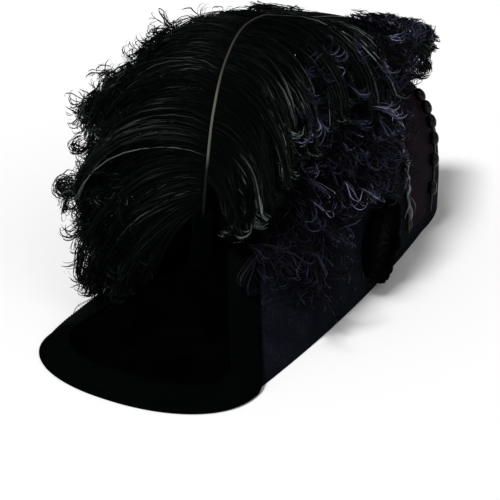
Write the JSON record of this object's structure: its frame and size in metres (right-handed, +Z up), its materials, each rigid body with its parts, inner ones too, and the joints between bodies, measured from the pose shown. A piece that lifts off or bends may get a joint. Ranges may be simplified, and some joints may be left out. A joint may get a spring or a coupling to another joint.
{
  "type": "plumed hat",
  "caption": "Fore-and-aft felt hat with a ribbon-bound front flap, an arching black plume with curled ends, a side rosette and a beaded plum panel.",
  "frame": {"origin": "middle of the hat's whole extent, on the plane its rim stands on", "axes": "+Z up from the rim plane, -Y towards the front flap, +X towards the wearer's left with the rosette"},
  "size_m": [0.232, 0.459, 0.2142],
  "materials": {
    "felt": "napped wool felt, navy black",
    "velvet": "matt black velvet",
    "ribbon": "ribbed black grosgrain",
    "feather": "black ostrich barbs with a green cast",
    "under_feather": "curled black barbs with a violet cast",
    "quill": "smooth dark horn with a bright streak",
    "plum": "plum cloth",
    "piping": "thin tan cord",
    "hackle": "glossy black hackle feathers",
    "bead": "polished black beads"
  },
  "bodies": {
    "root": {"crown": "felt", "front_flap": "velvet", "front_binding": "ribbon", "plume_socket": "ribbon", "plume_quill": "quill", "plume_vane_left": "feather", "plume_vane_right": "feather", "under_plume_left": "under_feather", "under_plume_right": "under_feather", "rosette": "ribbon", "rosette_button": "velvet", "side_panel": "plum", "panel_piping": "piping", "hackle_fringe": "hackle", "bead_edging": "bead"}
  },
  "joints": []
}
